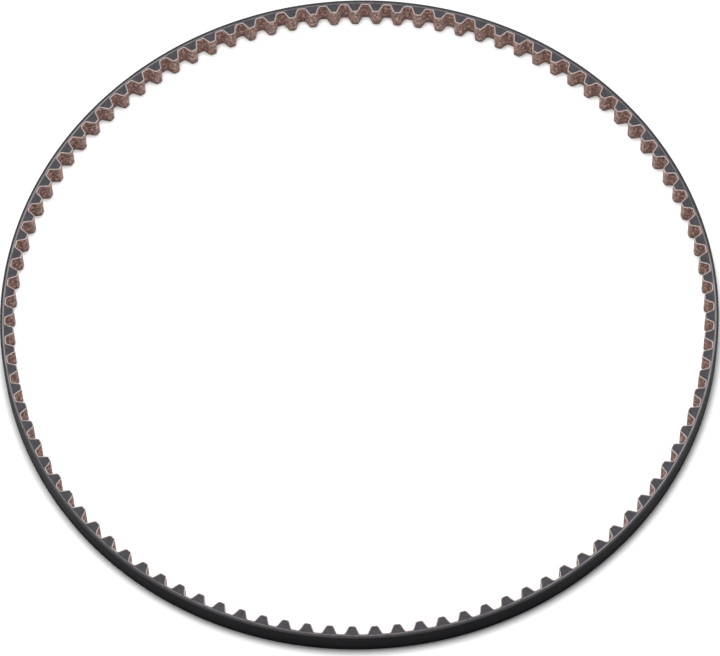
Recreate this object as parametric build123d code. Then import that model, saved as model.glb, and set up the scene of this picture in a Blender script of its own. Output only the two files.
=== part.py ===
from build123d import *
import os
from math import ceil, cos, degrees, pi, radians, sin, sqrt

# Endless timing belt, lying on one of its cut edges: a moulded rubber belt with two tensile cords
# wound round inside its back, and a woven facing over its teeth, which point inwards.
# Frame: the origin is the middle of the loop, on the plane of the lower cut edge. +Z runs across
# the belt's width, +Y is the free loop's longer axis and +X its shorter one. Millimetres.

# Driving dimensions of the loop
pitch = 9.525                # from one tooth to the next, along the pitch line through the cords
tooth_count = 101
belt_width = 10.6            # between the two cut edges
out_of_round = 4.0           # how much longer the free loop is along Y than along X
first_tooth = 0.756          # pitches from the loop's +X end to the middle of the first tooth

# Driving dimensions of the belt's section
backing_thickness = 1.7      # rubber from the back to the facing, between two teeth
facing_thickness = 0.45
tooth_height = 3.65          # from the facing between two teeth to the facing on a tip
tooth_root_width = 6.3       # between the feet of the flanks, before they are rounded
tooth_tip_width = 2.8        # between the flanks at the tip, before its corners are rounded
tooth_root_radius = 0.8      # on the outside of the facing
tooth_tip_radius = 1.2       # on the outside of the facing

# Driving dimensions of the two tensile cords
cord_diameter = 0.7
cord_cover = 0.08            # rubber left between a cord and the facing
cord_spacing = 1.4           # from one cord's middle to its neighbour's, across the belt
cord_exit = 163.0            # degrees round the loop where the S cord would cross the upper cut edge
cord_edge_cover = 0.05       # rubber between a cord's end and the cut edge beside it
arcs_per_quarter = 6         # short arcs that make up a quarter turn of a cord

# Worked out: the free loop is four tangent arcs of 90 degrees, with the wider ones at +X and -X
pitch_length = pitch * tooth_count
mean_radius = pitch_length / (2 * pi)
radius_step = out_of_round / (4 * (sqrt(2) - 1))
side_radius = mean_radius + radius_step
end_radius = mean_radius - radius_step
centre_shift = sqrt(2) * radius_step
# each arc's centre, its radius on the pitch line and the direction in degrees where it starts
arcs = [
    ((-centre_shift, 0), side_radius, -45),
    ((0, centre_shift), end_radius, 45),
    ((centre_shift, 0), side_radius, 135),
    ((0, -centre_shift), end_radius, 225),
]

# Worked out: levels in the section, measured outwards from the pitch line
facing_level = -(cord_diameter / 2 + cord_cover)
land_level = facing_level - facing_thickness
back_level = facing_level + backing_thickness

# Worked out: how far the flanks lean, across per along, and what the facing takes off each side
flank_lean = (tooth_root_width - tooth_tip_width) / 2 / tooth_height
facing_across = facing_thickness * sqrt(1 + flank_lean ** 2)


def loop_face(level):
    """The area inside the loop's line at a level."""
    edges = [CenterArc(centre, radius + level, start, 90) for centre, radius, start in arcs]
    return Face(Wire(edges))


def loop_place(length, level):
    """A place on the loop at a length along the pitch line: X along the belt, Y inwards."""
    length = (length + side_radius * pi / 4) % pitch_length
    for (x, y), radius, start in arcs:
        if length <= radius * pi / 2:
            break
        length -= radius * pi / 2
    direction = start + degrees(length / radius)
    x += (radius + level) * cos(radians(direction))
    y += (radius + level) * sin(radians(direction))
    return Pos(x, y) * Rot(0, 0, direction + 90)


def direction_length(direction):
    """The length along the pitch line from the +X end to a direction, inside one turn."""
    length = -side_radius * radians(45)
    for _, radius, start in arcs:
        length += radius * radians(min(max(direction - start, 0), 90))
    return length


def half_width(height):
    """Half of a tooth's width outside the facing, at a height above the land, before rounding."""
    return tooth_root_width / 2 - height * flank_lean


def symmetric_face(half_outline):
    """A closed face from the +X half of its outline, with its two ends on the Y axis."""
    left = [(-x, y) for x, y in reversed(half_outline) if x > 0]
    return make_face(Polyline(*half_outline, *left, close=True))


def rounded(face, height, radius):
    """The face with its corners at one height rounded."""
    corners = [corner for corner in face.vertices() if abs(corner.Y - height) < 1e-6]
    return fillet(corners, radius)


def tooth_face():
    """A tooth's outline outside its facing, on a foot that sinks into the facing beside it."""
    foot_half = tooth_root_width / 2 + tooth_root_radius
    foot_depth = facing_thickness / 2
    face = symmetric_face([
        (0, -foot_depth), (foot_half, -foot_depth), (foot_half, 0), (half_width(0), 0),
        (half_width(tooth_height), tooth_height), (0, tooth_height),
    ])
    roots = [v for v in face.vertices() if abs(v.Y) < 1e-6 and abs(v.X) < foot_half - 1e-6]
    return rounded(fillet(roots, tooth_root_radius), tooth_height, tooth_tip_radius)


def core_face():
    """A tooth's rubber inside its facing, run on outwards past the facing's level."""
    tip = tooth_height - facing_thickness
    foot = -facing_thickness - backing_thickness / 2
    face = symmetric_face([
        (0, foot), (half_width(foot) - facing_across, foot),
        (half_width(tip) - facing_across, tip), (0, tip),
    ])
    return rounded(face, tip, tooth_tip_radius - facing_thickness)


def every_tooth(face):
    """Copies of a face at every tooth."""
    lengths = [(first_tooth + number) * pitch for number in range(tooth_count)]
    return [loop_place(length, land_level) * face for length in lengths]


def cord_tube(drop):
    """A cord wound round the pitch line in short arcs, from one cut edge up to the other."""
    slope = 2 * cord_spacing / pitch_length
    exit_length = direction_length(cord_exit)
    lowest = cord_diameter / 2 + cord_edge_cover
    highest = belt_width - lowest
    first = exit_length - (belt_width - drop - lowest) / slope
    last = exit_length - (belt_width - drop - highest) / slope
    marks = [direction_length(arcs[0][2]) - ceil(belt_width / cord_spacing) * pitch_length]
    while marks[-1] < last:
        radius = arcs[(len(marks) - 1) // arcs_per_quarter % len(arcs)][1]
        marks.append(marks[-1] + radius * radians(90) / arcs_per_quarter)
    stations = [first] + [mark for mark in marks if first + 1 < mark < last - 1] + [last]

    def point(length):
        height = belt_width - drop + slope * (length - exit_length)
        return (loop_place(length, 0) * Pos(0, 0, height)).position

    steps = zip(stations, stations[1:])
    path = Wire([ThreePointArc(point(a), point((a + b) / 2), point(b)) for a, b in steps])
    outwards = loop_place(first, 0).y_axis.direction
    section = Plane(origin=path @ 0, x_dir=outwards, z_dir=path % 0) * Circle(cord_diameter / 2)
    return sweep(section, path=path)


# The cords, half a turn apart
tensile_cord_s = cord_tube(0)
tensile_cord_z = cord_tube(cord_spacing)

# The rubber back, one endless band moulded round the cords
band = extrude(loop_face(back_level) - loop_face(facing_level), belt_width)
back_rubber = band - tensile_cord_s - tensile_cord_z

# The teeth's rubber, and the facing over it
inside = loop_face(facing_level)
cores = Sketch() + [core & inside for core in every_tooth(core_face())]
facing = inside - loop_face(land_level) + every_tooth(tooth_face()) - cores
tooth_rubber = extrude(cores, belt_width)
tooth_facing = extrude(facing, belt_width)

os.makedirs("parts", exist_ok=True)
export_step(back_rubber, "parts/back_rubber.step")
export_step(tensile_cord_s, "parts/tensile_cord_s.step")
export_step(tensile_cord_z, "parts/tensile_cord_z.step")
export_step(tooth_rubber, "parts/tooth_rubber.step")
export_step(tooth_facing, "parts/tooth_facing.step")
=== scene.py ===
"""An endless timing belt lying on one of its cut edges, laid out as a Blender add-on.

Two glass cords run inside a ground rubber back. Rubber teeth point inwards, and a woven facing
covers them. A knife cut both edges of the belt, so rubber, cords and facing all show there.
"""

import math

import bpy
import numpy as np
from mathutils import Matrix, Vector


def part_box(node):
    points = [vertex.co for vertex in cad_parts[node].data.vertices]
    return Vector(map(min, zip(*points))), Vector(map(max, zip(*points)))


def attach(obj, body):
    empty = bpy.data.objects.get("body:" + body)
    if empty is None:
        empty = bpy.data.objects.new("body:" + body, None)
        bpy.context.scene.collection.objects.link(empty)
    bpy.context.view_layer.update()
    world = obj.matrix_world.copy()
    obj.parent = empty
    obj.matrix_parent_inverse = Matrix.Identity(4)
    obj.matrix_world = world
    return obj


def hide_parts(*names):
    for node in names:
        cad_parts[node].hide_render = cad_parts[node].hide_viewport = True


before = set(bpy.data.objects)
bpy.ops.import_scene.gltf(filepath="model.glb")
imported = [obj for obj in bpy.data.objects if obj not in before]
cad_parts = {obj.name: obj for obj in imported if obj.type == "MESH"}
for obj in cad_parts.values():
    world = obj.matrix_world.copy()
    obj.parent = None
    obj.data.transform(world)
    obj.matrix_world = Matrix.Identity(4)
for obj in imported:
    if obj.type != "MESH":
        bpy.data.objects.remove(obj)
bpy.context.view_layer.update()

bl_info = {
    "name": "Timing belt",
    "version": (1, 0, 0),
    "blender": (4, 5, 0),
    "location": "View3D > Sidebar > Timing belt",
    "description": "Builds an endless timing belt with woven facing and glass cords",
    "category": "Add Mesh",
}

MM = 0.001
BACK_LOW, BACK_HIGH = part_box("back_rubber")
BELT_WIDTH = BACK_HIGH.z - BACK_LOW.z


# ---------------------------------------------------------------- sizes and colours

def length_property(name, text, default, **more):
    """A size in metres, shown with enough digits for a belt's section."""
    return bpy.props.FloatProperty(
        name=name, description=text, default=default, unit="LENGTH", precision=5, **more)


def colour_property(name, text, default):
    """A scene-linear colour."""
    return bpy.props.FloatVectorProperty(
        name=name, description=text, default=default, size=3, min=0, max=1, subtype="COLOR")


class BELT_PG_sizes(bpy.types.PropertyGroup):
    """Sizes of the belt's loop, its section and its cords."""

    pitch: length_property("Pitch", "From one tooth to the next along the cords", 9.525 * MM)
    tooth_count: bpy.props.IntProperty(
        name="Teeth", description="Number of teeth round the loop", default=101, min=8)
    first_tooth: bpy.props.FloatProperty(
        name="First tooth", description="Pitches from the +X end to the first tooth",
        default=0.756)
    belt_width: length_property("Width", "Between the two cut edges", BELT_WIDTH)
    out_of_round: length_property(
        "Out of round", "How much longer the loop is along Y than along X", 4.0 * MM)
    backing_thickness: length_property("Back", "Rubber from the back to the facing", 1.7 * MM)
    facing_thickness: length_property("Facing", "Thickness of the woven facing", 0.45 * MM)
    tooth_height: length_property("Tooth height", "From the land to a tooth's tip", 3.65 * MM)
    tooth_root_width: length_property(
        "Tooth root", "Tooth width at its foot before rounding", 6.3 * MM)
    tooth_tip_width: length_property(
        "Tooth tip", "Tooth width at its tip before rounding", 2.8 * MM)
    tooth_root_radius: length_property("Root radius", "Rounding at a tooth's foot", 0.8 * MM)
    tooth_tip_radius: length_property("Tip radius", "Rounding at a tooth's tip", 1.2 * MM)
    cord_diameter: length_property("Cord", "Diameter of a glass cord", 0.7 * MM)
    cord_cover: length_property("Cord cover", "Rubber between cord and facing", 0.08 * MM)
    cord_spacing: length_property("Cord spacing", "From one cord to its neighbour", 1.4 * MM)
    cord_exit: bpy.props.FloatProperty(
        name="Cord exit", description="Direction where the S cord crosses the upper cut edge",
        default=math.radians(163), unit="ROTATION", subtype="ANGLE")
    back_edge_radius: length_property(
        "Back edge", "Rounding where the ground back meets a cut edge", 0.05 * MM)
    facing_edge_radius: length_property(
        "Facing edge", "Rounding where the facing meets a cut edge", 0.13 * MM)


class BELT_PG_colours(bpy.types.PropertyGroup):
    """Colours of the belt's rubber, facing and cords."""

    ground_rubber: colour_property(
        "Ground rubber", "The belt's back", (0.0032, 0.0032, 0.0048))
    cut_rubber: colour_property(
        "Cut rubber", "Rubber where the knife cut it", (0.047, 0.045, 0.052))
    facing_land: colour_property(
        "Facing between teeth", "Woven facing between two teeth", (0.25, 0.118, 0.088))
    facing_tip: colour_property(
        "Facing on tips", "Woven facing on the teeth's tips", (0.335, 0.21, 0.17))
    yarn_ends: colour_property(
        "Yarn ends", "Frayed yarn along the facing's edge", (0.66, 0.545, 0.525))
    cut_facing: colour_property(
        "Cut facing", "Rubber-soaked cloth where the knife cut it", (0.27, 0.22, 0.215))
    cord_glass: colour_property(
        "Cord", "Glass cord where the knife laid it open", (0.20, 0.185, 0.19))
    floor: colour_property("Floor", "The floor under the belt", (0.86, 0.86, 0.87))


class BELT_PG_studio(bpy.types.PropertyGroup):
    """The studio's light and camera."""

    softbox_power: bpy.props.FloatProperty(
        name="Softbox power", description="Power of the overhead softbox",
        default=44, unit="POWER")
    softbox_place: bpy.props.FloatVectorProperty(
        name="Softbox place", description="Middle of the softbox, a little behind the belt",
        default=(-0.07, 0.19, 1.9), size=3, subtype="XYZ", unit="LENGTH")
    softbox_width: length_property("Softbox width", "Size of the softbox along X", 0.75)
    softbox_depth: length_property("Softbox depth", "Size of the softbox along Y", 0.7)
    sky_strength: bpy.props.FloatProperty(
        name="Room light", description="Strength of the light from the room", default=0.27)
    camera_turn: bpy.props.FloatProperty(
        name="Camera turn", description="Camera's direction round the belt",
        default=math.radians(6.47112), unit="ROTATION", subtype="ANGLE")
    camera_height: bpy.props.FloatProperty(
        name="Camera height", description="Camera's angle above the floor",
        default=math.radians(61.36519), unit="ROTATION", subtype="ANGLE")
    camera_roll: bpy.props.FloatProperty(
        name="Camera roll", description="Turn about the camera's own axis",
        default=math.radians(-2.11261), unit="ROTATION", subtype="ANGLE")
    camera_distance: length_property(
        "Camera distance", "From the camera to its target", 2.18433)
    camera_target: bpy.props.FloatVectorProperty(
        name="Camera target", description="The point that the camera looks at",
        default=(0.542 * MM, -3.64 * MM, 0), size=3, subtype="XYZ", unit="LENGTH")
    camera_lens: bpy.props.FloatProperty(
        name="Focal length", description="Camera's focal length on a 36 mm sensor",
        default=254.95, unit="CAMERA")


# ---------------------------------------------------------------- the loop and its section

class Loop:
    """The free loop: four tangent arcs of 90 degrees, with the wider ones at +X and -X."""

    def __init__(self, sizes):
        self.length = sizes.pitch * sizes.tooth_count
        mean = self.length / (2 * math.pi)
        step = sizes.out_of_round / (4 * (math.sqrt(2) - 1))
        shift = math.sqrt(2) * step
        self.radii = np.array([mean + step, mean - step] * 2)
        self.centres = np.array([(-shift, 0), (0, shift), (shift, 0), (0, -shift)])
        self.starts = np.radians([-45, 45, 135, 225])
        self.ends = np.cumsum(self.radii * math.pi / 2)
        self.before_x = self.radii[0] * math.pi / 4

    def at(self, lengths):
        """Points on the pitch line, outward directions and radii at lengths from the +X end."""
        run = (np.asarray(lengths, float) + self.before_x) % self.length
        arc = np.minimum(np.searchsorted(self.ends, run), 3)
        begun = np.where(arc > 0, self.ends[arc - 1], 0)
        turn = self.starts[arc] + (run - begun) / self.radii[arc]
        outward = np.stack([np.cos(turn), np.sin(turn)], -1)
        radius = self.radii[arc]
        return self.centres[arc] + outward * radius[..., None], outward, radius

    def length_at(self, direction):
        """The length along the pitch line from the +X end to a direction, in radians."""
        turned = np.clip(direction - self.starts, 0, math.pi / 2)
        return float((turned * self.radii).sum() - self.before_x)


class Section:
    """Levels across the belt's thickness, outwards from the pitch line, and its cut edges."""

    def __init__(self, sizes, loop):
        self.loop = loop
        self.width = sizes.belt_width
        self.facing = -(sizes.cord_diameter / 2 + sizes.cord_cover)
        self.land = self.facing - sizes.facing_thickness
        self.back = self.facing + sizes.backing_thickness

    def wander(self, lengths, seed):
        """How far the knife strayed from a straight cut, from 0 to about 0.05 mm."""
        turn = 2 * math.pi * np.asarray(lengths) / self.loop.length
        stray = sum(
            size * np.sin(count * turn + seed * count + count ** 2)
            for size, count in ((0.4, 3), (0.25, 11), (0.2, 26), (0.15, 71)))
        return 0.025 * MM * (1 + stray)

    def upper(self, lengths):
        """Height of the upper cut edge."""
        return self.width - self.wander(lengths, 1.3)

    def lower(self, lengths):
        """Height of the lower cut edge."""
        return self.wander(lengths, 4.1)


def arc_points(centre, radius, start, end, count):
    """Points and outward directions along an arc, in degrees, with both of its ends."""
    turn = np.radians(np.linspace(start, end, count + 1))
    out = np.stack([np.cos(turn), np.sin(turn)], -1)
    return np.asarray(centre) + radius * out, out


def line_points(start, end, count):
    """Points inside a straight run, without its ends."""
    share = np.arange(1, count) / count
    return np.asarray(start) + share[:, None] * (np.asarray(end) - np.asarray(start))


def tooth_profile(sizes, section):
    """The facing's exposed line over one pitch and its direction into the open.

    X runs along the belt from the middle of the tooth, and Y inwards from the land. The last
    point is left out, because the next tooth begins there.
    """
    lean = (sizes.tooth_root_width - sizes.tooth_tip_width) / 2 / sizes.tooth_height
    flank = math.degrees(math.atan(lean))
    half_turn = math.tan(math.radians(90 - flank) / 2)
    root, tip = sizes.tooth_root_radius, sizes.tooth_tip_radius
    foot_x = sizes.tooth_root_width / 2
    tip_x = sizes.tooth_tip_width / 2
    root_centre = (foot_x + root * half_turn, root)
    tip_centre = (tip_x - tip * half_turn, sizes.tooth_height - tip)
    land_radius = section.loop.length / (2 * math.pi) + section.land
    middle = land_radius * math.sin(sizes.pitch * math.pi / section.loop.length)

    def run(start, end, out, count):
        points = line_points(start, end, count)
        return points, np.tile(out, (len(points), 1))

    tip_arc = arc_points(tip_centre, tip, 90, flank, 9)
    root_arc = arc_points(root_centre, root, 180 + flank, 270, 9)
    root_arc = root_arc[0], -root_arc[1]
    parts = [
        (np.array([[0, sizes.tooth_height]]), np.array([[0.0, 1.0]])),
        run((0, sizes.tooth_height), tip_arc[0][0], (0, 1), 5),
        tip_arc,
        run(tip_arc[0][-1], root_arc[0][0], tip_arc[1][-1], 9),
        root_arc,
        run(root_arc[0][-1], (middle, 0), (0, 1), 4),
    ]
    points = np.concatenate([p for p, _ in parts])
    outs = np.concatenate([o for _, o in parts])
    flip = np.array([-1, 1])
    left = np.concatenate([[[-middle, 0]], (points * flip)[:0:-1]])
    left_outs = np.concatenate([[[0, 1]], (outs * flip)[:0:-1]])
    return np.concatenate([left, points]), np.concatenate([left_outs, outs])


def bent_to_loop(loop, level, at_lengths, local):
    """Points of one profile, X along and Y inwards from a level, at places on the loop."""
    base, outward, radius = loop.at(at_lengths)
    along = np.stack([-outward[:, 1], outward[:, 0]], -1)
    x, y = local[..., 0], local[..., 1]
    reach = (radius + level)[:, None]
    sink = reach - np.sqrt(reach ** 2 - x ** 2)
    level_out = level - y - sink
    return base[:, None] + outward[:, None] * level_out[..., None] + along[:, None] * x[..., None]


# ---------------------------------------------------------------- mesh making

def make_mesh(name, points, faces, loops_uv=None, face_materials=None, attributes=()):
    """A smooth mesh object in the scene, in metres, with a UV map in metres along the belt."""
    mesh = bpy.data.meshes.new(name)
    mesh.from_pydata([tuple(p) for p in np.asarray(points, float)], [], faces)
    if face_materials is not None:
        mesh.polygons.foreach_set("material_index", np.asarray(face_materials, np.int32))
    if loops_uv is not None:
        layer = mesh.uv_layers.new(name="belt")
        layer.uv.foreach_set("vector", np.asarray(loops_uv, np.float32).ravel())
    for label, values in attributes:
        made = mesh.attributes.new(label, "FLOAT", "POINT")
        made.data.foreach_set("value", np.asarray(values, np.float32))
    mesh.polygons.foreach_set("use_smooth", np.ones(len(mesh.polygons), bool))
    if mesh.validate():
        raise RuntimeError(f"{name} has faces that can't stand")
    mesh.update()
    piece = bpy.data.objects.new(name, mesh)
    bpy.context.scene.collection.objects.link(piece)
    return piece


def grid_faces(rings, sides, closed_rings=True, closed_sides=True, start=0):
    """Quads over a grid of vertices, ring after ring, each with the same number of sides."""
    i = np.arange(rings if closed_rings else rings - 1)
    j = np.arange(sides if closed_sides else sides - 1)
    i, j = np.meshgrid(i, j, indexing="ij")
    ni, nj = (i + 1) % rings, (j + 1) % sides
    quads = np.stack([i * sides + j, ni * sides + j, ni * sides + nj, i * sides + nj], -1)
    return quads.reshape(-1, 4) + start


def grid_uv(us, vs, length, round_it):
    """UV corners for grid_faces, with both directions closed."""
    u0, u1 = us, np.append(us[1:], us[0] + length)
    v0, v1 = vs, np.append(vs[1:], vs[0] + round_it)
    a = np.stack(np.meshgrid(u0, v0, indexing="ij"), -1)
    b = np.stack(np.meshgrid(u1, v0, indexing="ij"), -1)
    c = np.stack(np.meshgrid(u1, v1, indexing="ij"), -1)
    d = np.stack(np.meshgrid(u0, v1, indexing="ij"), -1)
    return np.stack([a, b, c, d], -2).reshape(-1, 2)


def tooth_middles(sizes):
    """Lengths along the belt of every tooth's middle."""
    return (sizes.first_tooth + np.arange(sizes.tooth_count)) * sizes.pitch


def round_section(share):
    """The next point of each in a closed section, and whether the step runs along a cut edge."""
    following = np.roll(np.arange(len(share)), -1)
    along_cut = (share == share[following]) & ((share == 0) | (share == 1))
    return following, along_cut


def between_edges(low, high, share, inset):
    """Heights at shares of the width between two cut edges, or a distance in from one."""
    return low + share * (high - low) + np.where(share == 0, inset, -inset * (share == 1))


def wear(piece, materials, slot, *nodes):
    """Gives a piece its materials, its body and the CAD nodes it stands for; slot is not used."""
    for material in materials:
        piece.data.materials.append(material)
    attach(piece, "root")
    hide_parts(*nodes)
    return piece


# ---------------------------------------------------------------- materials

class Nodes:
    """Short ways to add nodes to one material."""

    def __init__(self, name):
        self.material = bpy.data.materials.new(name)
        self.material.use_nodes = True
        self.tree = self.material.node_tree
        self.shader = self.tree.nodes["Principled BSDF"]
        self.place = self.add("ShaderNodeTexCoord").outputs["Object"]

    def add(self, kind, **values):
        """A node with settings by attribute name and inputs by socket name or number."""
        node = self.tree.nodes.new(kind)
        inputs = values.pop("inputs", {})
        for key, value in values.items():
            setattr(node, key, value)
        for key, value in inputs.items():
            self.set(node.inputs[key], value)
        return node

    def set(self, socket, value):
        """Links or sets one socket."""
        if isinstance(value, bpy.types.NodeSocket):
            self.tree.links.new(value, socket)
        else:
            socket.default_value = value

    def math(self, operation, *values, clamp=False):
        """The result of a Math node."""
        node = self.add("ShaderNodeMath", operation=operation, use_clamp=clamp)
        for socket, value in zip(node.inputs, values):
            self.set(socket, value)
        return node.outputs[0]

    def noise(self, scale, detail, vector=None):
        """A noise pattern's value; scale is in features per metre."""
        node = self.add("ShaderNodeTexNoise", inputs={
            "Vector": vector or self.place, "Scale": scale, "Detail": detail})
        return node.outputs["Fac"]

    def stretched(self, source, scale):
        """Coordinates stretched by a scale on each axis."""
        node = self.add("ShaderNodeMapping", inputs={"Vector": source, "Scale": scale})
        return node.outputs[0]

    def given(self, name):
        """A value that the mesh's points carry, or 0 where they carry none."""
        return self.add("ShaderNodeAttribute", attribute_name=name).outputs["Fac"]

    def spots(self, scale, randomness):
        """Distance from the middle of the nearest spot; scale is in spots per metre."""
        node = self.add("ShaderNodeTexVoronoi", feature="F1", inputs={
            "Vector": self.place, "Scale": scale, "Randomness": randomness})
        return node.outputs["Distance"]

    def belt(self):
        """Metres along the belt and round its section."""
        return self.add("ShaderNodeUVMap", uv_map="belt").outputs[0]

    def share(self, value, low, high, to_low=0.0, to_high=1.0):
        """A value spread from one range to another, and held inside it."""
        node = self.add("ShaderNodeMapRange", inputs={
            "Value": value, "From Min": low, "From Max": high, "To Min": to_low,
            "To Max": to_high})
        return node.outputs[0]

    def mix(self, share, a, b):
        """Two colours mixed."""
        node = self.add("ShaderNodeMix", data_type="RGBA")
        self.set(node.inputs[0], share)
        for socket, value in ((node.inputs[6], a), (node.inputs[7], b)):
            self.set(socket, (*value, 1) if isinstance(value, tuple) else value)
        return node.outputs[2]

    def bump(self, height, distance, strength):
        """A normal from a height; distance is in metres."""
        inputs = {"Height": height, "Distance": distance, "Strength": strength}
        return self.add("ShaderNodeBump", inputs=inputs).outputs[0]

    def finish(self, colour, roughness, normal, **fixed):
        """Sets the shader's inputs; fixed ones are plain numbers."""
        self.set(self.shader.inputs["Base Color"], colour)
        self.set(self.shader.inputs["Roughness"], roughness)
        self.set(self.shader.inputs["Normal"], normal)
        for key, value in fixed.items():
            self.shader.inputs[key.replace("_", " ").title().replace("Ior", "IOR")
                               ].default_value = value
        return self.material


def dimmed(colour, share):
    """A colour times a number."""
    return tuple(min(1.0, c * share) for c in colour)


def ground_rubber(colours):
    """Black rubber ground smooth: fine scratches along the belt and faint grey bloom."""
    n = Nodes("ground_rubber")
    base = tuple(colours.ground_rubber)
    scratches = n.noise(1, 2, n.stretched(n.belt(), (45, 5200, 1)))
    bloom = n.noise(38, 4)
    grit = n.noise(3300, 2)
    tone = n.mix(n.share(bloom, 0.35, 0.7), dimmed(base, 0.8), dimmed(base, 1.35))
    tone = n.mix(n.share(scratches, 0.62, 0.8, 0, 0.5), tone, dimmed(base, 2.4))
    rough = n.share(n.math("ADD", bloom, scratches), 0.7, 1.3, 0.52, 0.7)
    height = n.math("ADD", n.math("MULTIPLY", scratches, 0.7), n.math("MULTIPLY", grit, 0.5))
    return n.finish(tone, rough, n.bump(height, 0.02 * MM, 0.6), specular_ior_level=0.06)


def cut_rubber(colours):
    """Knife-cut rubber: dull grey, lighter at the cords' level and darker by the ground skin."""
    n = Nodes("cut_rubber")
    base = tuple(colours.cut_rubber)
    mottle = n.noise(420, 4)
    fine = n.noise(2600, 2)
    drag = n.noise(1, 2, n.stretched(n.belt(), (320, 4200, 1)))
    fibre = n.spots(1500.0, 1.0)
    tone = n.mix(n.share(mottle, 0.3, 0.72), dimmed(base, 0.72), dimmed(base, 1.3))
    tone = n.mix(n.share(fine, 0.58, 0.78, 0, 0.55), tone, dimmed(base, 2.2))
    tone = n.mix(n.share(fibre, 0.16, 0.06, 0, 0.7), tone, dimmed(base, 4.2))
    tone = n.mix(n.share(drag, 0.6, 0.8, 0, 0.3), tone, dimmed(base, 0.45))
    cord_level = n.math("MULTIPLY", n.given("cord_band"), n.share(mottle, 0.3, 0.6, 0.4, 0.95))
    tone = n.mix(cord_level, tone, dimmed(tuple(colours.cord_glass), 0.85))
    tone = n.mix(n.math("MULTIPLY", n.given("skin"), 0.7), tone, dimmed(base, 0.45))
    height = n.math("ADD", n.math("MULTIPLY", fine, 0.8), drag)
    rough = n.share(mottle, 0.3, 0.7, 0.78, 0.92)
    return n.finish(tone, rough, n.bump(height, 0.03 * MM, 0.8), specular_ior_level=0.35)


def woven_facing(colours):
    """Twill woven nylon: redder between teeth, paler on tips, painted shade at its foot by the
    floor, frayed on top.
    """
    n = Nodes("woven_facing")
    land, tip = tuple(colours.facing_land), tuple(colours.facing_tip)
    height, frayed, foot = n.given("tooth_share"), n.given("edge_share"), n.given("painted_floor_shade")
    weft_step, warp_step = 0.42 * MM, 0.36 * MM
    split = n.add("ShaderNodeSeparateXYZ", inputs={0: n.belt()})
    across_yarn = n.math("MULTIPLY", split.outputs["X"], 2 * math.pi / weft_step)
    along_yarn = n.math("MULTIPLY", split.outputs["Y"], 2 * math.pi / warp_step)
    twill = n.math("SINE", n.math("MULTIPLY", n.math("ADD", across_yarn, along_yarn), 0.5))
    rib = n.math("MULTIPLY", n.math("SINE", across_yarn), n.math("SINE", along_yarn))
    weave = n.math("ADD", n.math("MULTIPLY", twill, 0.3), n.math("MULTIPLY", rib, 0.2))
    weave = n.math("ADD", weave, 0.5)
    blotch = n.noise(240, 4)
    speckle = n.noise(1, 3, n.stretched(n.belt(), (820, 560, 1)))
    grain = n.noise(1500, 3)
    rubbed = n.math("ADD", n.share(height, 0.25, 1, 0, 0.85),
                    n.share(blotch, 0.35, 0.7, -0.35, 0.35), clamp=True)
    tone = n.mix(rubbed, land, tip)
    tone = n.mix(n.share(weave, 0.15, 0.6, 0.55, 0), tone, dimmed(land, 0.35))
    tone = n.mix(n.share(speckle, 0.53, 0.62, 0, 0.85), tone, dimmed(tip, 2.0))
    tone = n.mix(n.share(speckle, 0.48, 0.38, 0, 0.9), tone, dimmed(land, 0.3))
    tone = n.mix(n.share(grain, 0.6, 0.75, 0, 0.5), tone, dimmed(tip, 1.9))
    tone = n.mix(n.share(grain, 0.42, 0.25, 0, 0.5), tone, dimmed(land, 0.4))
    # painted shade: the cloth darkens towards the floor, and turns rubber grey at its very bottom
    tone = n.mix(n.math("MULTIPLY", foot, 0.75), tone, dimmed(land, 0.27))
    tone = n.mix(n.share(foot, 0.72, 0.95, 0, 0.7), tone, tuple(colours.cut_rubber))
    pale_edge = n.math("MULTIPLY", frayed, n.share(speckle, 0.36, 0.55, 0.35, 1.0))
    tone = n.mix(pale_edge, tone, tuple(colours.yarn_ends))
    rough = n.share(grain, 0.3, 0.7, 0.72, 0.9)
    relief = n.math("ADD", weave, n.math("MULTIPLY", grain, 0.8))
    n.finish(tone, rough, n.bump(relief, 0.09 * MM, 0.9), specular_ior_level=0.35,
             sheen_weight=0.25, sheen_roughness=0.6)
    n.shader.inputs["Sheen Tint"].default_value = (1.0, 0.85, 0.8, 1)
    return n.material


def yarn_ends(colours):
    """The facing's cut edge: cloth soaked with dark rubber, and pale where its yarn frays."""
    n = Nodes("yarn_ends")
    pale, soaked = tuple(colours.yarn_ends), tuple(colours.cut_facing)
    dots = n.spots(3600.0, 0.9)
    patches = n.noise(900, 3)
    tone = n.mix(n.share(dots, 0.25, 0.6, 0, 0.6), soaked, dimmed(soaked, 0.35))
    tone = n.mix(n.share(patches, 0.52, 0.64, 0, 0.6), tone, dimmed(pale, 0.95))
    tone = n.mix(n.share(patches, 0.44, 0.34, 0, 0.6), tone, dimmed(soaked, 0.3))
    frayed = n.mix(n.share(patches, 0.4, 0.6, 0, 0.6), pale, dimmed(pale, 0.45))
    tone = n.mix(n.given("edge_share"), tone, frayed)
    relief = n.math("SUBTRACT", 1.0, dots)
    return n.finish(tone, n.share(dots, 0.2, 0.6, 0.75, 0.9), n.bump(relief, 0.08 * MM, 0.8),
                    specular_ior_level=0.3, sheen_weight=0.2, sheen_roughness=0.7)


def cord_glass(colours):
    """Twisted glass yarn in its bonding coat: fine filaments that follow the cord."""
    n = Nodes("cord_glass")
    base = tuple(colours.cord_glass)
    filaments = n.noise(1, 2, n.stretched(n.belt(), (140, 9000, 1)))
    stain = n.noise(150, 3)
    tone = n.mix(n.share(filaments, 0.35, 0.65), dimmed(base, 0.55), dimmed(base, 1.35))
    tone = n.mix(n.share(stain, 0.42, 0.68, 0, 0.6), tone, dimmed(base, 0.35))
    return n.finish(tone, n.share(filaments, 0.3, 0.7, 0.4, 0.62),
                    n.bump(filaments, 0.04 * MM, 0.8), specular_ior_level=0.45)


# ---------------------------------------------------------------- operators

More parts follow.
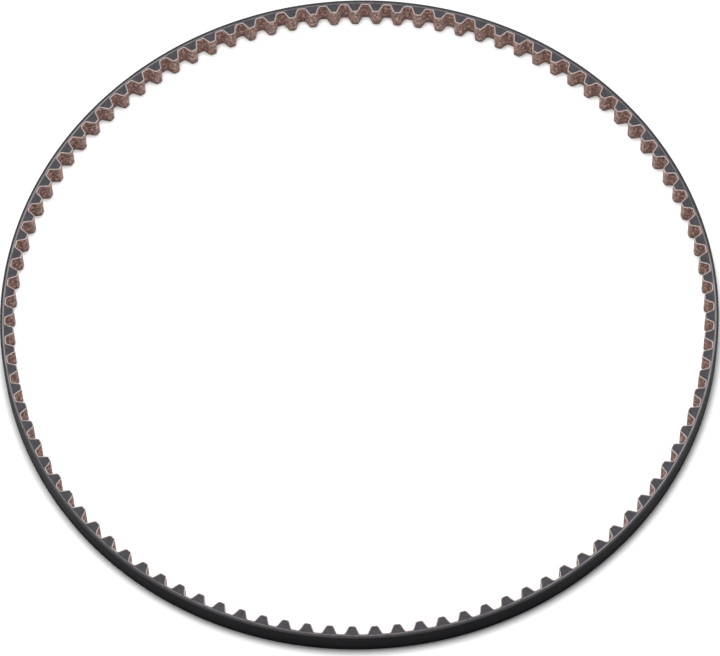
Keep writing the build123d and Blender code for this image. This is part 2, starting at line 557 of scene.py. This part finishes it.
class BeltOperator:
    """What the belt's operators share."""

    bl_options = {"REGISTER", "UNDO"}

    def execute(self, context):
        scene = context.scene
        self.sizes, self.colours = scene.belt_sizes, scene.belt_colours
        self.loop = Loop(self.sizes)
        self.section = Section(self.sizes, self.loop)
        self.build()
        return {"FINISHED"}


class BELT_OT_back_rubber(BeltOperator, bpy.types.Operator):
    """Build the endless rubber back, ground on the outside and cut along both edges"""

    bl_idname = "belt.back_rubber"
    bl_label = "Rubber back"

    def outline(self):
        """Points round the section: level, share of the width and distance in from a cut."""
        facing, back = self.section.facing, self.section.back
        radius = self.sizes.back_edge_radius
        bevel = back - radius
        corner = np.radians(np.linspace(0, 90, 6))
        rows = [(level, 0, 0) for level in np.linspace(facing, bevel, 11)[:-1]]
        rows += [(bevel + radius * math.sin(a), 0, radius * (1 - math.cos(a))) for a in corner]
        rows += [(back, share, 0) for share in np.linspace(0, 1, 16)[1:-1]]
        rows += [(bevel + radius * math.cos(a), 1, radius * (1 - math.sin(a))) for a in corner]
        rows += [(level, 1, 0) for level in np.linspace(bevel, facing, 11)[1:]]
        rows += [(facing, share, 0) for share in (0.75, 0.5, 0.25)]
        return np.array(rows).T

    def build(self):
        loop, section = self.loop, self.section
        level, share, inset = self.outline()
        stations_per_tooth = 12
        count, sides = self.sizes.tooth_count * stations_per_tooth, len(level)
        lengths = np.arange(count) * loop.length / count
        base, outward, _ = loop.at(lengths)
        low, high = section.lower(lengths)[:, None], section.upper(lengths)[:, None]
        z = between_edges(low, high, share, inset)

        ground = (share > 0) & (share < 1) & (level > 0)
        grinding = 0.006 * MM
        rough = np.zeros((count, sides))
        rough[:, ground] = np.random.default_rng(11).normal(0, grinding, (count, ground.sum()))
        xy = base[:, None] + outward[:, None] * (level + rough)[..., None]
        points = np.concatenate([xy, z[..., None]], -1)

        height = share * section.width + np.where(share == 0, inset, -inset)
        step = np.hypot(np.diff(level, append=level[0]), np.diff(height, append=height[0]))
        round_it = np.concatenate([[0], np.cumsum(step)[:-1]])
        following, along_cut = round_section(share)
        cut = along_cut & (inset == 0) & (inset[following] == 0)

        # a lighter band in the cut edge at the cords' level, and a dark skin by the ground back
        on_cut = (share == 0) | (share == 1)
        band_level, band_reach = -0.17 * MM, 0.22 * MM
        skin_depth, skin_fade = 0.95 * MM, 0.35 * MM
        cord_band = on_cut * np.clip(1.5 - np.abs(level - band_level) / band_reach, 0, 1)
        skin = on_cut * np.clip((level - section.back + skin_depth) / skin_fade, 0, 1)
        piece = make_mesh(
            "rubber_back", points.reshape(-1, 3), grid_faces(count, sides),
            grid_uv(lengths, round_it, loop.length, step.sum()), np.tile(cut, count),
            [("cord_band", np.tile(cord_band, count)), ("skin", np.tile(skin, count))])
        wear(piece, [ground_rubber(self.colours), cut_rubber(self.colours)],
             "back_rubber", "back_rubber")


class BELT_OT_tensile_cords(BeltOperator, bpy.types.Operator):
    """Wind the two twisted glass cords, laid open where they run out through a cut edge"""

    bl_idname = "belt.tensile_cords"
    bl_label = "Tensile cords"

    def build(self):
        material = cord_glass(self.colours)
        for node, drop, twist in (("tensile_cord_s", 0, 1), ("tensile_cord_z", 1, -1)):
            wear(self.cord(node, drop * self.sizes.cord_spacing, twist), [material],
                 "cord_glass", node)

    def cord(self, node, drop, twist):
        """One cord: three strands that turn round each other, cut off level with the edges."""
        sizes, loop, section = self.sizes, self.loop, self.section
        radius = sizes.cord_diameter / 2
        slope = 2 * sizes.cord_spacing / loop.length
        exit_length = loop.length_at(sizes.cord_exit)
        past_edge = radius * 0.97
        first = exit_length - (section.width - drop + past_edge) / slope
        last = exit_length + (drop + past_edge) / slope
        station_step = 1.1 * MM
        count = int((last - first) / station_step)
        lengths = np.linspace(first, last, count)
        centre = section.width - drop + slope * (lengths - exit_length)
        sides, strand_count, groove = 14, 3, 0.07
        turn = np.arange(sides) * 2 * math.pi / sides
        lay = 6.5 * MM
        laid = turn[None] - twist * 2 * math.pi * lengths[:, None] / lay
        strands = 1 - groove * (1 - np.cos(strand_count * laid))
        across = radius * strands * np.cos(turn)
        up = centre[:, None] + radius * strands * np.sin(turn)
        proud, least_half = 0.012 * MM, 0.02 * MM
        for edge, sign in ((section.upper(lengths) + proud, 1),
                           (section.lower(lengths) - proud, -1)):
            past = sign * (up - edge[:, None]) > 0
            half = np.sqrt(np.maximum(radius ** 2 - (centre - edge) ** 2, least_half ** 2))
            across = np.where(past, np.clip(across, -half[:, None], half[:, None]), across)
            up = np.where(past, edge[:, None], up)
        up = np.maximum(up, 0)
        base, outward, _ = loop.at(lengths)
        xy = base[:, None] + outward[:, None] * across[..., None]
        points = np.concatenate([xy, up[..., None]], -1).reshape(-1, 3)
        faces = grid_faces(count, sides, closed_rings=False).tolist()
        faces += [list(range(sides)), list(range((count - 1) * sides, count * sides))[::-1]]
        side_uv = np.arange(sides + 1) * 2 * math.pi * radius / sides
        u = np.stack([lengths[:-1], lengths[1:], lengths[1:], lengths[:-1]], -1)[:, None]
        v = np.stack([side_uv[:-1], side_uv[:-1], side_uv[1:], side_uv[1:]], -1)[None]
        u, v = np.broadcast_arrays(u, v)
        uv = np.concatenate([np.stack([u, v], -1).reshape(-1, 2), np.zeros((2 * sides, 2))])
        return make_mesh(node + "_strands", points, faces, uv)


class BELT_OT_tooth_rubber(BeltOperator, bpy.types.Operator):
    """Build the rubber inside each tooth, cut level with the belt's edges"""

    bl_idname = "belt.tooth_rubber"
    bl_label = "Tooth rubber"

    def build(self):
        sizes, loop, section = self.sizes, self.loop, self.section
        profile, outs = tooth_profile(sizes, section)
        bonded = profile - outs * sizes.facing_thickness
        close = 0.0005 * MM
        lifted = bonded[:, 1] > -sizes.facing_thickness + close
        first, last = np.flatnonzero(lifted)[[0, -1]]
        outline = bonded[first - 1:last + 2]
        foot = line_points(outline[-1], outline[0], 10)
        outline = np.concatenate([outline, foot])
        middles = tooth_middles(sizes)
        xy = bent_to_loop(loop, section.land, middles, outline[None])
        lengths = middles[:, None] + outline[None, :, 0]
        sides = len(outline)
        heights = np.array([0, 0.33, 0.67, 1])
        low, high = section.lower(lengths), section.upper(lengths)
        z = low[:, None] + heights[None, :, None] * (high - low)[:, None]
        xy = np.broadcast_to(xy[:, None], (*z.shape, 2))
        points = np.concatenate([xy, z[..., None]], -1).reshape(-1, 3)
        # each tooth is a wall round its outline, closed by one face on either cut edge
        faces = []
        rows = len(heights)
        for tooth in range(sizes.tooth_count):
            start = tooth * rows * sides
            wall = grid_faces(rows, sides, closed_rings=False, start=start)[:, ::-1]
            faces += wall.tolist()
            bottom = list(range(start, start + sides))
            top = [start + (rows - 1) * sides + k for k in range(sides)]
            faces += [bottom, top[::-1]]
        flat = np.concatenate([np.array(f) for f in faces])
        local = np.concatenate([
            np.broadcast_to(lengths[:, None], z.shape)[..., None],
            np.broadcast_to(outline[None, None, :, 1], z.shape)[..., None]], -1).reshape(-1, 2)
        piece = make_mesh("tooth_rubber_blocks", points, faces, local[flat])
        piece.data.polygons.foreach_set(
            "use_smooth", np.array([len(f) == 4 for f in faces]))
        wear(piece, [cut_rubber_shared(self.colours)], "tooth_rubber", "tooth_rubber")


def cut_rubber_shared(colours):
    """The cut rubber that the back's edges already have, or a new one."""
    return bpy.data.materials.get("cut_rubber") or cut_rubber(colours)


class BELT_OT_tooth_facing(BeltOperator, bpy.types.Operator):
    """Build the woven facing, one strip of cloth bonded over every tooth and land"""

    bl_idname = "belt.tooth_facing"
    bl_label = "Tooth facing"

    def outline(self):
        """Points round the cloth: depth, share of the width and distance in from a cut."""
        thick, edge = self.sizes.facing_thickness, self.sizes.facing_edge_radius
        corner = np.radians(np.linspace(0, 90, 4))
        soaked = [0.3 * MM, 0.2 * MM]
        near = [0.25 * MM, 0.45 * MM, 0.7 * MM]
        rows = [(depth, 0, 0) for depth in (thick, *soaked)]
        rows += [(edge * (1 - math.sin(a)), 0, edge * (1 - math.cos(a))) for a in corner]
        rows += [(0, 0, inset) for inset in near]
        rows += [(0, share, 0) for share in np.linspace(0, 1, 12)[1:-1]]
        rows += [(0, 1, inset) for inset in near[::-1]]
        rows += [(edge * (1 - math.cos(a)), 1, edge * (1 - math.sin(a))) for a in corner]
        rows += [(depth, 1, 0) for depth in (*soaked[::-1], thick)]
        rows += [(thick, share, 0) for share in (0.66, 0.33)]
        return np.array(rows).T

    def build(self):
        sizes, loop, section = self.sizes, self.loop, self.section
        profile, outs = tooth_profile(sizes, section)
        middles = tooth_middles(sizes)
        depth, share, inset = self.outline()
        local = profile[:, None] - outs[:, None] * depth[None, :, None]
        lengths = (middles[:, None] + profile[None, :, 0]).ravel()
        stations, sides = len(lengths), len(depth)
        xy = np.stack([bent_to_loop(loop, section.land, middles, local[None, :, k])
                       for k in range(sides)], 2).reshape(stations, sides, 2)

        # the cloth frays by a few hundredths of a millimetre and isn't quite even
        rng = np.random.default_rng(7)
        most = 0.03 * MM
        fringe = np.clip(rng.normal(0, 0.016 * MM, (2, stations, 1)), -most, most)
        low = section.lower(lengths)[:, None] + np.abs(fringe[0])
        high = section.upper(lengths)[:, None] + fringe[1]
        z = between_edges(low, high, share, inset)
        puff = rng.normal(0, 0.008 * MM, (stations, sides)) * (depth == 0) * (inset == 0)
        points = np.concatenate([xy, z[..., None]], -1)
        points[..., :2] += loop.at(lengths)[1][:, None] * puff[..., None]

        exposed = xy[:, np.argmax(depth == 0)]
        run = np.linalg.norm(np.diff(exposed, axis=0, append=exposed[:1]), axis=1)
        along = np.concatenate([[0], np.cumsum(run)[:-1]])
        height = share * section.width + np.where(share == 0, inset, -inset)
        step = np.hypot(np.diff(depth, append=depth[0]), np.diff(height, append=height[0]))
        round_it = np.concatenate([[0], np.cumsum(step)[:-1]])
        following, along_cut = round_section(share)
        deep = depth > sizes.facing_edge_radius / 2
        cut = along_cut & (deep | deep[following])

        piece = make_mesh(
            "woven_tooth_facing", points.reshape(-1, 3), grid_faces(stations, sides),
            grid_uv(along, round_it, run.sum(), step.sum()), np.tile(cut, stations),
            self.marks(profile, depth, share, inset, height))
        wear(piece, [woven_facing(self.colours), yarn_ends(self.colours)],
             "tooth_facing", "tooth_facing")

    def marks(self, profile, depth, share, inset, height):
        """Where the cloth is on a tooth, frays at a cut edge, or takes painted shade at its foot
        by the floor.
        """
        count, stations = self.sizes.tooth_count, len(profile) * self.sizes.tooth_count
        tooth_share = np.clip(np.tile(profile[:, 1], count) / self.sizes.tooth_height, 0, 1)
        fray_width, fray_depth, floor_shade_height = 0.3 * MM, 0.2 * MM, 2.4 * MM
        # the lower edge shows a quarter of the upper edge's pale yarn
        lower_edge = 0.25
        from_cut = np.where((share == 0) | (share == 1), inset, 1 * MM)
        edge_share = np.clip(1.3 - from_cut / fray_width, 0, 1)
        edge_share *= np.clip(1.5 - depth / fray_depth, 0, 1) * (
            lower_edge + (1 - lower_edge) * share)
        # painted shade by the floor, over the lowest few millimetres of the cloth's lower half
        painted_floor_shade = np.clip(1.1 - height / floor_shade_height, 0, 1) * (share < 0.5)
        return [("tooth_share", np.repeat(tooth_share, len(depth))),
                ("edge_share", np.tile(edge_share, stations)),
                ("painted_floor_shade", np.tile(painted_floor_shade, stations))]


class BELT_OT_stage(bpy.types.Operator):
    """Set up the pale floor, the soft light and the camera"""

    bl_idname = "belt.stage"
    bl_label = "Studio"
    bl_options = {"REGISTER", "UNDO"}

    def execute(self, context):
        scene = context.scene
        studio, colours = scene.belt_studio, scene.belt_colours
        self.floor(colours)
        self.light(scene, studio)
        self.camera(scene, studio)
        scene.view_settings.view_transform = "Standard"
        return {"FINISHED"}

    def floor(self, colours):
        """A wide pale floor, level with the belt's lower cut edge."""
        n = Nodes("pale_floor")
        base = tuple(colours.floor)
        tone = n.mix(n.noise(3, 2), dimmed(base, 0.995), base)
        n.finish(tone, n.share(n.noise(40, 2), 0.3, 0.7, 0.85, 0.95),
                 n.bump(n.noise(400, 2), 0.01 * MM, 0.2), specular_ior_level=0.2)
        half, cells = 4.0, 8
        line = np.linspace(-half, half, cells + 1)
        x, y = np.meshgrid(line, line, indexing="ij")
        points = np.stack([x, y, np.zeros_like(x)], -1).reshape(-1, 3)
        floor = make_mesh("pale_floor", points,
                          grid_faces(cells + 1, cells + 1, False, False).tolist())
        floor.data.materials.append(n.material)

    def light(self, scene, studio):
        """A softbox overhead, a little behind the belt, in a room that is darker in front."""
        lamp = bpy.data.lights.new("overhead_softbox", "AREA")
        lamp.shape = "RECTANGLE"
        lamp.size, lamp.size_y = studio.softbox_width, studio.softbox_depth
        lamp.energy = studio.softbox_power
        lamp.color = (1.0, 0.985, 0.965)
        holder = bpy.data.objects.new("overhead_softbox", lamp)
        holder.location = studio.softbox_place
        aim = Vector((0, 0, 0)) - holder.location
        holder.rotation_euler = aim.to_track_quat("-Z", "Y").to_euler()
        scene.collection.objects.link(holder)

        world = bpy.data.worlds.new("pale_room")
        world.use_nodes = True
        tree = world.node_tree
        tree.nodes.clear()
        place = tree.nodes.new("ShaderNodeTexCoord")
        split = tree.nodes.new("ShaderNodeSeparateXYZ")
        tree.links.new(place.outputs["Generated"], split.inputs[0])
        front = tree.nodes.new("ShaderNodeMapRange")
        tree.links.new(split.outputs["Y"], front.inputs["Value"])
        shades = {"From Min": -1.0, "From Max": 0.2, "To Min": 0.8, "To Max": 1.0}
        for key, value in shades.items():
            front.inputs[key].default_value = value
        power = tree.nodes.new("ShaderNodeMath")
        power.operation = "MULTIPLY"
        tree.links.new(front.outputs[0], power.inputs[0])
        power.inputs[1].default_value = studio.sky_strength
        sky = tree.nodes.new("ShaderNodeBackground")
        sky.inputs["Color"].default_value = (0.93, 0.96, 1.0, 1)
        tree.links.new(power.outputs[0], sky.inputs["Strength"])
        out = tree.nodes.new("ShaderNodeOutputWorld")
        tree.links.new(sky.outputs[0], out.inputs["Surface"])
        scene.world = world

    def camera(self, scene, studio):
        """A long lens, looking down over the belt's near edge."""
        turn, height, roll = studio.camera_turn, studio.camera_height, studio.camera_roll
        forward = Vector((-math.sin(turn) * math.cos(height), math.cos(turn) * math.cos(height),
                          -math.sin(height)))
        right = Vector((math.cos(turn), math.sin(turn), 0))
        up = right.cross(forward)
        rolled_right = right * math.cos(roll) + up * math.sin(roll)
        rolled_up = up * math.cos(roll) - right * math.sin(roll)
        place = Vector(studio.camera_target) - forward * studio.camera_distance
        data = bpy.data.cameras.new("camera")
        data.lens, data.sensor_width, data.sensor_fit = studio.camera_lens, 36, "HORIZONTAL"
        data.clip_start, data.clip_end = 0.05, 50
        camera = bpy.data.objects.new("camera", data)
        axes = Matrix((rolled_right, rolled_up, -forward)).transposed()
        camera.matrix_world = Matrix.Translation(place) @ axes.to_4x4()
        scene.collection.objects.link(camera)
        scene.camera = camera


class BELT_PT_maker(bpy.types.Panel):
    """Lists the belt's sizes, colours and building steps"""

    bl_label = "Timing belt"
    bl_idname = "BELT_PT_maker"
    bl_space_type = "VIEW_3D"
    bl_region_type = "UI"
    bl_category = "Timing belt"

    def draw(self, context):
        layout, scene = self.layout, context.scene
        for group in (scene.belt_sizes, scene.belt_colours, scene.belt_studio):
            box = layout.box()
            for key in group.__annotations__:
                box.prop(group, key)
        for operator in OPERATORS:
            layout.operator(operator.bl_idname)


OPERATORS = (
    BELT_OT_back_rubber,
    BELT_OT_tensile_cords,
    BELT_OT_tooth_rubber,
    BELT_OT_tooth_facing,
    BELT_OT_stage,
)
GROUPS = {
    "belt_sizes": BELT_PG_sizes,
    "belt_colours": BELT_PG_colours,
    "belt_studio": BELT_PG_studio,
}
CLASSES = (*GROUPS.values(), *OPERATORS, BELT_PT_maker)


def register():
    """Adds the classes and the scene's settings."""
    for made in CLASSES:
        bpy.utils.register_class(made)
    for key, group in GROUPS.items():
        setattr(bpy.types.Scene, key, bpy.props.PointerProperty(type=group))


def unregister():
    """Takes the settings and the classes away again."""
    for key in GROUPS:
        delattr(bpy.types.Scene, key)
    for made in reversed(CLASSES):
        bpy.utils.unregister_class(made)


def main():
    """Builds the belt and the studio."""
    register()
    bpy.ops.belt.back_rubber()
    bpy.ops.belt.tensile_cords()
    bpy.ops.belt.tooth_rubber()
    bpy.ops.belt.tooth_facing()
    bpy.ops.belt.stage()


if __name__ == "__main__":
    main()
